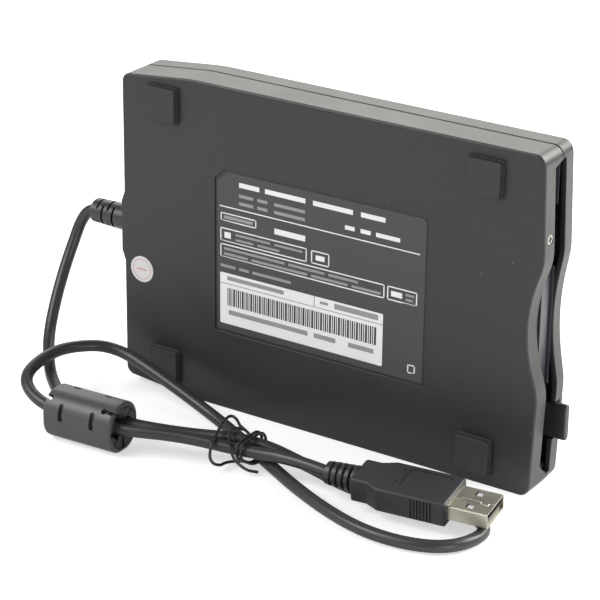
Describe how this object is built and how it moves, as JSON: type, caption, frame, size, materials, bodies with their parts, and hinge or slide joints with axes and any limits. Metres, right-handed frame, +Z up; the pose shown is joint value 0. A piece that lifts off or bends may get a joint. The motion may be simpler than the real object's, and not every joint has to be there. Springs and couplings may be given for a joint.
{
  "type": "external floppy disk drive",
  "caption": "Slim external floppy disk drive on its long side: bowed front with finger waist, disk slot, side eject button, rubber feet, and a tied cord with ferrite and plug.",
  "frame": {"origin": "on the surface that the drive stands on, under the middle of its length and thickness (rear pad to button tip, feet to top face)", "axes": "+X from the rear wall to the disk slot, +Y from the underside with the feet to the top cover, +Z up from the long side that it stands on"},
  "size_m": [0.1716, 0.0666, 0.103],
  "materials": {
    "case_plastic": "fine satin texture, charcoal",
    "foot_rubber": "matt dark rubber",
    "label_film": "matt printed film, dark grey",
    "sticker_film": "white film",
    "screw_steel": "dark zinc",
    "bezel_plastic": "near-black moulded plastic",
    "door_plastic": "dark grey, slightly lighter than the case",
    "button_plastic": "charcoal, as the case",
    "sheet_steel": "galvanised pressed sheet",
    "bright_steel": "ground bar and spring wire",
    "sintered_bronze": "sintered bush",
    "board_laminate": "green circuit board",
    "chip_epoxy": "black packages",
    "copper_wire": "enamelled copper",
    "laminated_iron": "laminated core",
    "ferrite": "sintered ferrite",
    "carriage_polymer": "glass-filled black polymer",
    "head_ceramic": "polished ceramic",
    "header_nylon": "natural nylon",
    "cord_jacket": "soft satin jacket, dark grey",
    "overmould": "soft satin moulding, near black",
    "snap_case": "satin moulded case, dark grey",
    "nickel": "dull nickel plate",
    "gilt": "gilt contacts",
    "tongue_plastic": "white plastic",
    "tie_vinyl": "thin dark vinyl over wire"
  },
  "bodies": {
    "drive": {"bottom_cover": "case_plastic", "top_cover": "case_plastic", "rubber_feet": "foot_rubber", "rating_label": "label_film", "round_sticker": "sticker_film", "front_screw": "screw_steel", "case_screws": "screw_steel", "slot_bezel": "bezel_plastic", "slide_springs": "bright_steel", "chassis": "sheet_steel", "top_shield": "sheet_steel", "motor_board": "board_laminate", "stator_core": "laminated_iron", "stator_coils": "copper_wire", "spindle_bearing": "sintered_bronze", "guide_rods": "bright_steel", "stepper_motor": "sheet_steel", "control_board": "board_laminate", "board_chips": "chip_epoxy", "usb_board": "board_laminate", "cable_header": "header_nylon", "board_ribbon": "header_nylon", "sense_switches": "bezel_plastic", "strain_relief": "cord_jacket", "cord_tail": "cord_jacket", "cord": "cord_jacket", "ferrite_case_upper": "snap_case", "ferrite_case_lower": "snap_case", "ferrite_core_upper": "ferrite", "ferrite_core_lower": "ferrite", "usb_plug_body": "overmould", "usb_shell": "nickel", "usb_tongue": "tongue_plastic", "usb_contacts": "gilt", "twist_tie": "tie_vinyl"},
    "door": {"slot_door": "door_plastic"},
    "slider": {"slide_plate": "sheet_steel", "eject_button": "button_plastic"},
    "cage": {"disk_cage": "sheet_steel"},
    "shutter": {"shutter_lever": "bright_steel"},
    "rotor": {"spindle_rotor": "sheet_steel", "rotor_magnet": "ferrite", "spindle_hub": "bright_steel"},
    "carriage": {"head_carriage": "carriage_polymer", "arm_pin": "bright_steel", "lower_head": "head_ceramic"},
    "arm": {"upper_head_arm": "bright_steel", "upper_head": "head_ceramic"},
    "screw": {"lead_screw": "bright_steel"}
  },
  "joints": [
    {"name": "eject_slide", "type": "slide", "parent": "drive", "child": "slider", "axis": [1, 0, 0], "range_m": [-0.001, 0.0045]},
    {"name": "cage_lift", "type": "slide", "parent": "drive", "child": "cage", "axis": [0, 1, 0], "range_m": [-0.0022, 0.0005]},
    {"name": "shutter_swing", "type": "hinge", "parent": "cage", "child": "shutter", "pos_m": [-0.0143, 0.0042, 0.082], "axis": [0, 1, 0], "range_deg": [-13, 55]},
    {"name": "door_hinge", "type": "hinge", "parent": "drive", "child": "door", "pos_m": [0.06655, 0.0036, 0.0515], "axis": [0, 0, -1], "range_deg": [0, 85], "stiffness_Nm_per_rad": 0.002, "springref_deg": -11.46},
    {"name": "spindle_spin", "type": "hinge", "parent": "drive", "child": "rotor", "pos_m": [0.0157, -0.0037, 0.0515], "axis": [0, 1, 0], "continuous": true},
    {"name": "carriage_slide", "type": "slide", "parent": "drive", "child": "carriage", "axis": [1, 0, 0], "range_m": [0, 0.0148]},
    {"name": "lead_screw_spin", "type": "hinge", "parent": "drive", "child": "screw", "pos_m": [-0.0423, 0.0003, 0.07], "axis": [1, 0, 0], "range_deg": [-1, 1777]},
    {"name": "arm_hinge", "type": "hinge", "parent": "carriage", "child": "arm", "pos_m": [-0.0503, 0.0039, 0.0515], "axis": [0, 0, 1], "range_deg": [-8.4, 1.9]}
  ],
  "couplings": [
    {"joint": "cage_lift", "follows": "eject_slide", "ratio": -0.48889},
    {"joint": "shutter_swing", "follows": "eject_slide", "rad_per_m": 213},
    {"joint": "arm_hinge", "follows": "eject_slide", "rad_per_m": -32.5},
    {"joint": "lead_screw_spin", "follows": "carriage_slide", "rad_per_m": 2094.4}
  ]
}
